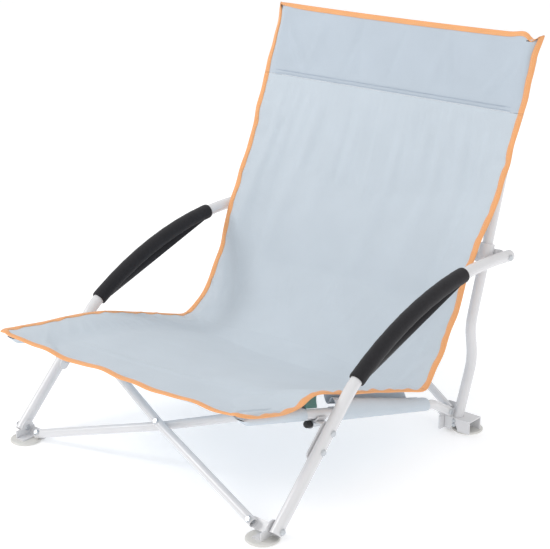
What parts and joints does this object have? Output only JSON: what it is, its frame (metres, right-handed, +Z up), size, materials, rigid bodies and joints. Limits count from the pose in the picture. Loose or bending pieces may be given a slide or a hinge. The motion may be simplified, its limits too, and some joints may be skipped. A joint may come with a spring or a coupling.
{
  "type": "folding camp chair",
  "caption": "Low folding camp chair with a white tube frame, curved arms with black foam grips, crossed tubes front and back, and a light blue fabric sling.",
  "frame": {"origin": "middle of the overall box in X and Y, on the floor under the foot discs", "axes": "+X to the sitter's left, +Y from the front of the seat to the back, +Z up"},
  "size_m": [0.607, 0.7474, 0.6649],
  "materials": {
    "white_enamel": "gloss white powder coat on bent steel tube and folded sheet",
    "zinc_steel": "bright zinc-plated bolts and rivets",
    "pad_plastic": "moulded light grey foot discs",
    "plug_plastic": "moulded black tube plugs",
    "grip_foam": "black closed-cell foam sleeve",
    "sling_cloth": "light blue woven polyester sling",
    "sling_binding": "apricot woven binding tape"
  },
  "bodies": {
    "right_front_foot": {"right_front_foot_pad": "pad_plastic", "right_front_foot_bracket": "white_enamel", "right_front_foot_rivets": "zinc_steel"},
    "right_cross_tube": {"right_front_cross_tube": "white_enamel", "right_front_tube_bolt": "zinc_steel", "crossing_rivet": "zinc_steel"},
    "right_arm": {"right_arm_tube": "white_enamel", "right_arm_end_plug": "white_enamel", "right_foam_grip": "grip_foam", "right_rail_saddle": "white_enamel", "right_arm_bolts": "zinc_steel"},
    "right_hub": {"right_post_slider": "white_enamel", "right_slider_bolt": "zinc_steel"},
    "right_post": {"right_back_post": "white_enamel", "right_post_top_plug": "plug_plastic", "right_rear_foot_bracket": "white_enamel", "right_rear_foot_pad": "pad_plastic", "right_rear_foot_rivets": "zinc_steel", "headrest_pocket": "sling_cloth"},
    "right_rail": {"right_seat_rail": "white_enamel", "right_rail_end_plug": "plug_plastic", "right_rail_sleeve": "sling_cloth", "seat_panel": "sling_cloth"},
    "right_rear_tube": {"right_rear_cross_tube": "white_enamel", "right_rear_tube_rivet": "zinc_steel"},
    "left_front_foot": {"left_front_foot_pad": "pad_plastic", "left_front_foot_bracket": "white_enamel", "left_front_foot_rivets": "zinc_steel"},
    "left_cross_tube": {"left_front_cross_tube": "white_enamel", "left_front_tube_bolt": "zinc_steel"},
    "left_arm": {"left_arm_tube": "white_enamel", "left_arm_end_plug": "white_enamel", "left_foam_grip": "grip_foam", "left_rail_saddle": "white_enamel", "left_arm_bolts": "zinc_steel"},
    "left_hub": {"left_post_slider": "white_enamel", "left_slider_bolt": "zinc_steel"},
    "left_post": {"left_back_post": "white_enamel", "left_post_top_plug": "plug_plastic", "left_rear_foot_bracket": "white_enamel", "left_rear_foot_pad": "pad_plastic", "left_rear_foot_rivets": "zinc_steel"},
    "left_rail": {"left_seat_rail": "white_enamel", "left_rail_end_plug": "plug_plastic", "left_rail_sleeve": "sling_cloth"},
    "left_rear_tube": {"left_rear_cross_tube": "white_enamel", "left_rear_tube_rivet": "zinc_steel"},
    "sling_back": {"back_panel": "sling_cloth"}
  },
  "joints": [
    {"name": "fold", "type": "hinge", "parent": "right_front_foot", "child": "right_cross_tube", "pos_m": [0.248, -0.33083, 0.0238], "axis": [0, 0.788, -0.6157], "range_deg": [0, 62], "deforming": ["seat_panel", "back_panel", "headrest_pocket"]},
    {"name": "crossing_turn", "type": "hinge", "parent": "right_cross_tube", "child": "left_cross_tube", "pos_m": [0, -0.27062, 0.0882], "axis": [0, 0.788, -0.6157], "range_deg": [-124, 0]},
    {"name": "left_foot_turn", "type": "hinge", "parent": "left_cross_tube", "child": "left_front_foot", "pos_m": [-0.248, -0.31854, 0.0142], "axis": [0, 0.788, -0.6157], "range_deg": [0, 62]},
    {"name": "right_arm_lift", "type": "hinge", "parent": "right_front_foot", "child": "right_arm", "pos_m": [0.29, -0.31868, 0.017], "axis": [1, 0, 0], "range_deg": [0, 16.68]},
    {"name": "right_hub_turn", "type": "hinge", "parent": "right_arm", "child": "right_hub", "pos_m": [0.29, 0.278, 0.30011], "axis": [1, 0, 0], "range_deg": [-36.68, 0]},
    {"name": "right_post_slide", "type": "slide", "parent": "right_hub", "child": "right_post", "axis": [0, -0.2957, -0.9553], "range_m": [0, 0.27077]},
    {"name": "right_rail_turn", "type": "hinge", "parent": "right_post", "child": "right_rail", "pos_m": [0.255, 0.17032, 0.04], "axis": [1, 0, 0], "range_deg": [-75.9, 0]},
    {"name": "right_rear_tube_turn", "type": "hinge", "parent": "right_post", "child": "right_rear_tube", "pos_m": [0.23, 0.20746, 0.0305], "axis": [0, 0.9785, -0.206], "range_deg": [0, 54.71]},
    {"name": "left_arm_lift", "type": "hinge", "parent": "left_front_foot", "child": "left_arm", "pos_m": [-0.29, -0.31868, 0.017], "axis": [1, 0, 0], "range_deg": [0, 16.68]},
    {"name": "left_hub_turn", "type": "hinge", "parent": "left_arm", "child": "left_hub", "pos_m": [-0.29, 0.278, 0.30011], "axis": [1, 0, 0], "range_deg": [-36.68, 0]},
    {"name": "left_post_slide", "type": "slide", "parent": "left_hub", "child": "left_post", "axis": [0, -0.2957, -0.9553], "range_m": [0, 0.27077]},
    {"name": "left_rail_turn", "type": "hinge", "parent": "left_post", "child": "left_rail", "pos_m": [-0.255, 0.17032, 0.04], "axis": [1, 0, 0], "range_deg": [-75.9, 0]},
    {"name": "left_rear_tube_turn", "type": "hinge", "parent": "left_post", "child": "left_rear_tube", "pos_m": [-0.23, 0.19317, 0.0335], "axis": [0, 0.9785, -0.206], "range_deg": [-54.71, 0]},
    {"name": "sling_back_swing", "type": "hinge", "parent": "right_post", "child": "sling_back", "pos_m": [0, 0.31032, 0.541], "axis": [1, 0, 0], "range_deg": [0, 8]}
  ],
  "couplings": [
    {"joint": "crossing_turn", "follows": "fold", "ratio": -2},
    {"joint": "left_foot_turn", "follows": "fold", "ratio": 1},
    {"joint": "right_arm_lift", "follows": "fold", "ratio": 0.26903},
    {"joint": "right_hub_turn", "follows": "fold", "ratio": -0.59161},
    {"joint": "right_post_slide", "follows": "fold", "m_per_rad": 0.25022},
    {"joint": "right_rail_turn", "follows": "fold", "ratio": -1.2242},
    {"joint": "right_rear_tube_turn", "follows": "fold", "ratio": 0.88242},
    {"joint": "left_arm_lift", "follows": "fold", "ratio": 0.26903},
    {"joint": "left_hub_turn", "follows": "fold", "ratio": -0.59161},
    {"joint": "left_post_slide", "follows": "fold", "m_per_rad": 0.25022},
    {"joint": "left_rail_turn", "follows": "fold", "ratio": -1.2242},
    {"joint": "left_rear_tube_turn", "follows": "fold", "ratio": -0.88242},
    {"joint": "sling_back_swing", "follows": "fold", "ratio": 0.12903}
  ]
}
